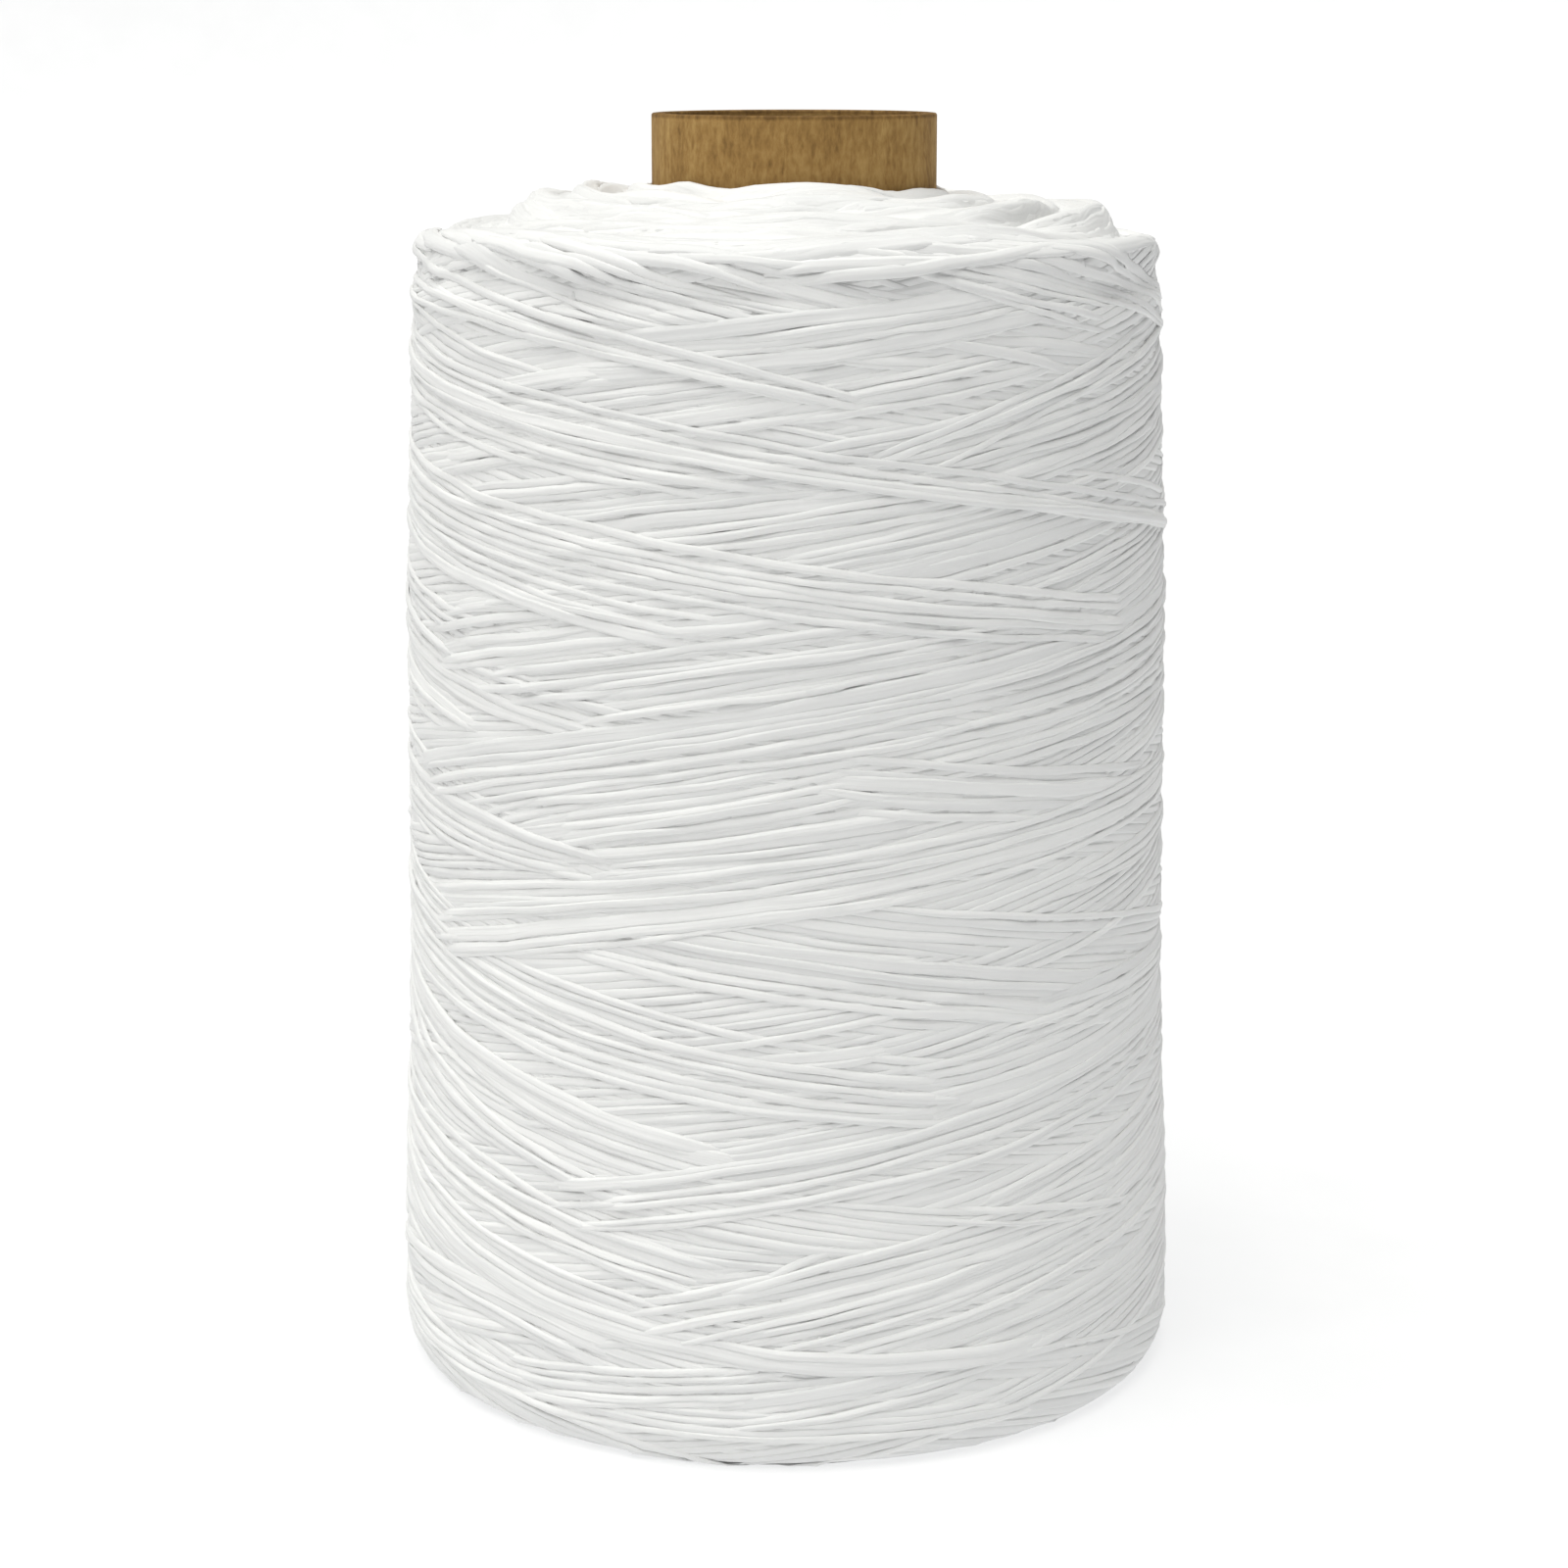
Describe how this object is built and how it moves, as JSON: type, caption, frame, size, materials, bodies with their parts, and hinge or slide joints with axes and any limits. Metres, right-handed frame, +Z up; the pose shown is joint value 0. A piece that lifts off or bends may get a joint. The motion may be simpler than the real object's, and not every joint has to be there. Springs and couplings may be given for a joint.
{
  "type": "roll of paper raffia",
  "caption": "Cross-wound roll of white paper raffia on a brown cardboard tube, standing on its flat end, with a domed top and the tube's open bore through the middle.",
  "frame": {"origin": "under the middle of the winding, on the surface that the roll stands on", "axes": "+Z up along the tube, -Y towards the front of the roll, +X to its right"},
  "size_m": [0.1189, 0.1184, 0.1868],
  "materials": {
    "paper_raffia": "matt white crimped paper ribbon with fine lengthwise creases",
    "kraft_cardboard": "matt brown kraft board with short dark fibres"
  },
  "bodies": {
    "root": {"raffia_winding": "paper_raffia", "cardboard_tube": "kraft_cardboard"}
  },
  "joints": []
}
